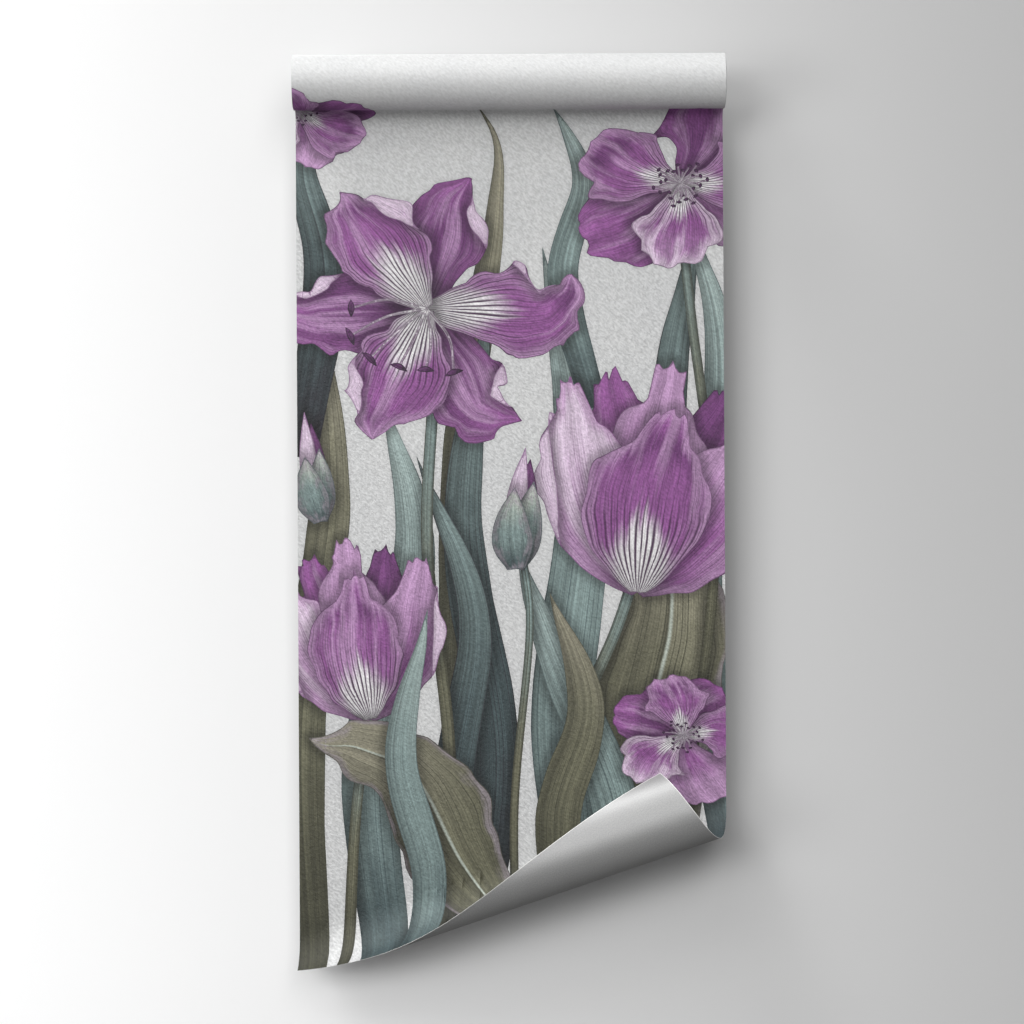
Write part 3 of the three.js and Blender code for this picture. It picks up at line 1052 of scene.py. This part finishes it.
def paper_material(name, tint, dark, turn_tones=(1.0, 1.0)):
    """The plain back, and the cut edge: satin paper with fine fibres and no relief. Its white core
    shows all along the cut, and the same pale colour runs onto the back next to the cut as a
    painted highlight. turn_tones are how dark and how light it gets along the web."""
    g = Graph(name)
    flat, u, w = g.uv("flat")
    fibres = g.noise(flat, 620, 3, 0.7)
    cloud = g.noise(flat, 30, 3, 0.6)
    colour = g.mix(g.smooth(fibres, 0.3, 0.7), dark, tint)
    colour = g.shade(colour, g.smooth(cloud, 0.2, 0.8, 0.97, 1.03))
    from_side = g.math("SUBTRACT", HALF * MM, g.absolute(u))
    from_cut = g.math("MINIMUM", from_side, w)
    # the white core on the cut edge, and a painted highlight along the cut on the back
    colour = g.mix(g.smooth(from_cut, *CORE_AND_HIGHLIGHT_BAND, 1.0, 0.0), colour, CORE_AND_CUT_HIGHLIGHT)
    along = g.noise(g.vector(0.0, w), TURN_GRAIN, 4, 0.7)
    colour = g.shade(colour, g.smooth(along, 0.35, 0.65, *turn_tones))
    return g.finish(colour, fibres, FIBRE_RELIEF, roughness=0.42, specular=1.0, ior=1.65)


MATERIALS = print_materials() + [
    paper_material("paper_back", linear(138, 138, 137), linear(120, 120, 120)),
    paper_material("paper_edge", linear(226, 225, 221), linear(206, 205, 200), UNEVEN_TURNS),
]

# ---- stage, light and camera
WALL_GAP = 0.038  # the wall stands this far behind the paper's back
FLOOR_Z = -2.6
FLOOR_HALF = 6
WALL_SIZE = (1.9, 2.4)  # half width, height over the origin
WALL_PAINTED_FALLOFF = (0.88, 0.45)  # reflectance of the wall at its pale and at its dark side, painted shade for the light falling off to the right
WALL_SPREAD = 0.95  # metres from the middle to either
# painted shade at the wall's top and painted light towards its foot, evening out the light from top
# to bottom
WALL_TOP_Z, WALL_TOP_PAINTED_SHADE, WALL_FOOT_PAINTED_LIGHT = 0.2, 0.93, 1.08
STAGE_MIDDLE = Vector((0, 0, -0.43))  # what the lights shine on
BACKDROP = 0.55  # strength of the world, which is only seen and lights nothing
# Square soft boxes: azimuth, elevation, distance, side and power. A strong one high on the left,
# a bank of three on the left, and weaker ones round the middle. The rear ones stand behind the
# wall's plane, so that they light the back and the ends of the roll but not the wall's front.
SOFT_BOXES = ((-70, 60, 6.0, 2.5, 300),
              (-50, 35, 8.0, 3.0, 150), (-50, 0, 8.0, 3.0, 150), (-30, 15, 8.0, 3.0, 180),
              (-20, 50, 8.0, 3.0, 80), (-10, 15, 8.0, 3.0, 80),
              (15, 35, 8.0, 3.0, 100), (15, 15, 8.0, 3.0, 70))
REAR_BOXES = ((200, 40, 4.0, 2.0, 60), (150, 5, 6.0, 3.0, 60), (105, 20, 6.0, 2.0, 75))


def plane(name, corners, material):
    mesh = bpy.data.meshes.new(name)
    mesh.from_pydata(corners, [], [(0, 1, 2, 3)])
    mesh.materials.append(material)
    made = put(name, mesh)
    return made


def wall_material():
    """A pale wall, with painted shade that darkens it softly from left to right and painted light
    towards its foot. It is open when seen from behind.
    """
    g = Graph("stage_wall")
    x, _, z = g.split(g.node("TexCoord", out=3))
    # painted light and shade: darker to the right and at the top, lighter towards the foot
    painted_light_and_shade = g.smooth(x, -WALL_SPREAD, WALL_SPREAD, *WALL_PAINTED_FALLOFF)
    painted_light_by_height = g.node("MapRange", {0: z, 1: WALL_TOP_Z, 2: BOTTOM_Z * MM,
                                   3: WALL_TOP_PAINTED_SHADE, 4: WALL_FOOT_PAINTED_LIGHT})
    front = g.node("BsdfDiffuse", {0: g.times(painted_light_and_shade, painted_light_by_height)})
    behind = g.node("BsdfTransparent")
    side = g.node("NewGeometry", out=6)
    g.node("OutputMaterial", {0: g.node("MixShader", {0: side, 1: front, 2: behind})})
    return g.material


def floor_material():
    g = Graph("stage_floor")
    g.node("OutputMaterial", {0: g.node("BsdfDiffuse", {0: linear(120, 120, 120)})})
    return g.material


def soft_box(name, azimuth, elevation, distance, side, power):
    """A square light that shines on the middle of the drop. Angles in degrees."""
    azimuth, elevation = math.radians(azimuth), math.radians(elevation)
    data = bpy.data.lights.new(name, "AREA")
    data.shape, data.size = "SQUARE", side
    data.energy = power
    light = put(name, data)
    level = math.cos(elevation)
    towards = Vector((math.sin(azimuth) * level, -math.cos(azimuth) * level, math.sin(elevation)))
    light.location = STAGE_MIDDLE + towards * distance
    light.rotation_euler = towards.to_track_quat("Z", "Y").to_euler()


def build_backdrop():
    """A plain grey world behind the stage. All the light comes from the soft boxes."""
    world = bpy.data.worlds.new("studio")
    world.use_nodes = True
    backdrop = world.node_tree.nodes["Background"]
    backdrop.inputs["Color"].default_value = (1, 1, 1, 1)
    backdrop.inputs["Strength"].default_value = BACKDROP
    world.cycles_visibility.diffuse = False
    world.cycles_visibility.glossy = False
    bpy.context.scene.world = world


def build_stage():
    half, high = WALL_SIZE
    wall = plane("stage_wall", [(-half, WALL_GAP, FLOOR_Z), (half, WALL_GAP, FLOOR_Z),
                                (half, WALL_GAP, high), (-half, WALL_GAP, high)], wall_material())
    wall.visible_shadow = False
    wall.visible_diffuse = False
    wall.visible_glossy = False
    corners = ((-1, -1), (1, -1), (1, 1), (-1, 1))
    plane("stage_floor", [(x * FLOOR_HALF, y * FLOOR_HALF, FLOOR_Z) for x, y in corners],
          floor_material())
    for number, box in enumerate(SOFT_BOXES + REAR_BOXES):
        soft_box(f"soft_box_{number}", *box)
    build_backdrop()
    bpy.context.scene.view_settings.view_transform = "Standard"


CAMERA_DISTANCE = 3.8  # from the wall side of the paper
SENSOR_WIDTH = 36  # millimetres
FRAME_PIXELS = 1024
PIXEL_MM = 1.2412  # width of a pixel on the paper
CAMERA_ROLL = math.radians(0.3)
CAMERA_X, CAMERA_Z = 0.001, -0.4293  # what the middle of the frame looks at


def build_camera():
    data = bpy.data.cameras.new("camera")
    data.sensor_width = SENSOR_WIDTH
    data.lens = SENSOR_WIDTH * CAMERA_DISTANCE / (FRAME_PIXELS * PIXEL_MM * MM)
    data.clip_start, data.clip_end = 0.05, 60
    camera = put("camera", data)
    camera.location = (CAMERA_X, -CAMERA_DISTANCE, CAMERA_Z)
    camera.rotation_euler = (math.pi / 2, CAMERA_ROLL, 0)
    bpy.context.scene.camera = camera


build_camera()
build_stage()
web = build_web(MATERIALS)
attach(web, "root")
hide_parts("wallpaper")
